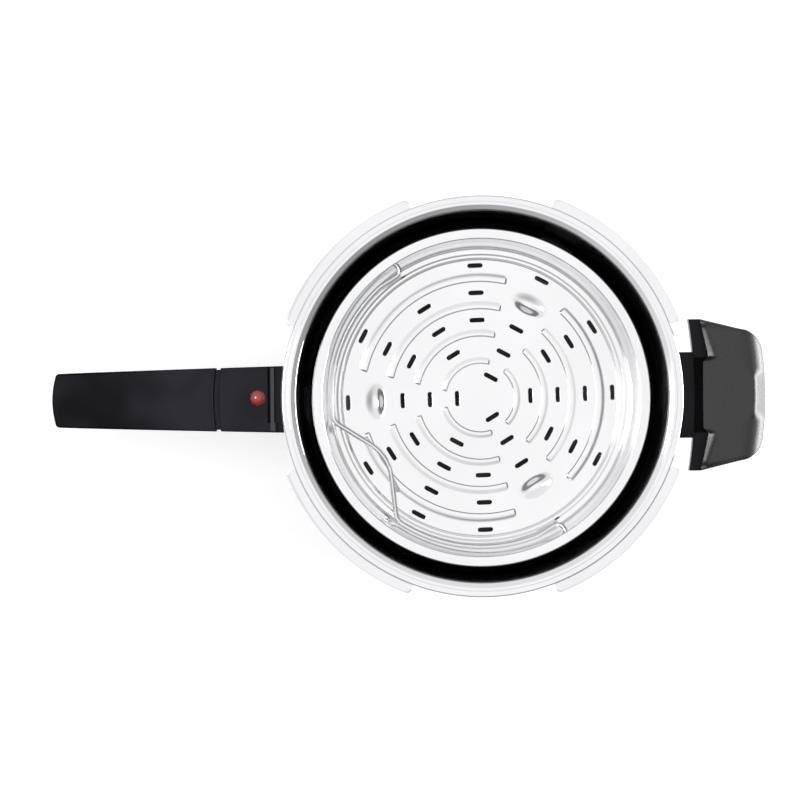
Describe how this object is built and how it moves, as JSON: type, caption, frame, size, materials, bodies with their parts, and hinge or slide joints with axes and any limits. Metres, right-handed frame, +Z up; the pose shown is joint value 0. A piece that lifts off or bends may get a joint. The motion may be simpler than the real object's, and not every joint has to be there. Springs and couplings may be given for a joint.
{
  "type": "pressure cooker",
  "caption": "Open pressure cooker pot with a bayonet rim, a long handle, a helper handle, and a slotted steamer basket with a folding wire bail standing inside on a trivet.",
  "frame": {"origin": "on the pot's axis at the underside of its base", "axes": "+Z up along the pot's axis, +X towards the helper handle, the long handle along -X"},
  "size_m": [0.4231, 0.2378, 0.1331],
  "materials": {
    "polished_steel": "mirror polished stainless steel",
    "brushed_steel": "brushed stainless steel",
    "satin_steel": "bright pressed stainless steel",
    "plated_steel": "zinc plated steel",
    "aluminium": "plain rolled aluminium",
    "black_moulding": "black phenolic moulding with a soft gloss",
    "red_plastic": "glossy red plastic"
  },
  "bodies": {
    "pot": {"pot_body": "polished_steel", "base_core": "aluminium", "base_cap": "brushed_steel", "handle_bracket": "brushed_steel", "front_nut": "plated_steel", "grip_nut": "plated_steel", "handle_front": "black_moulding", "handle_grip": "black_moulding", "front_screw": "plated_steel", "front_washer": "plated_steel", "grip_screw": "plated_steel", "grip_washer": "plated_steel", "button_spring": "plated_steel", "helper_bracket": "brushed_steel", "helper_handle": "black_moulding", "helper_screw_a": "plated_steel", "helper_screw_b": "plated_steel", "helper_washer_a": "plated_steel", "helper_washer_b": "plated_steel"},
    "button": {"catch_button": "red_plastic"},
    "trivet": {"trivet": "satin_steel"},
    "basket": {"steamer_basket": "satin_steel"},
    "bail": {"basket_bail": "polished_steel"}
  },
  "joints": [
    {"name": "button_press", "type": "slide", "parent": "pot", "child": "button", "axis": [0, 0, -1], "range_m": [0, 0.002], "stiffness_N_per_m": 800, "springref_m": -0.0015, "deforming": ["button_spring"]},
    {"name": "trivet_lift", "type": "slide", "parent": "pot", "child": "trivet", "axis": [0, 0, 1], "range_m": [0, 0.15]},
    {"name": "basket_lift", "type": "slide", "parent": "trivet", "child": "basket", "axis": [0, 0, 1], "range_m": [0, 0.11]},
    {"name": "bail_fold", "type": "hinge", "parent": "basket", "child": "bail", "pos_m": [0, 0, 0.0691], "axis": [-0.5314, 0.8471, 0], "range_deg": [0, 190]}
  ]
}
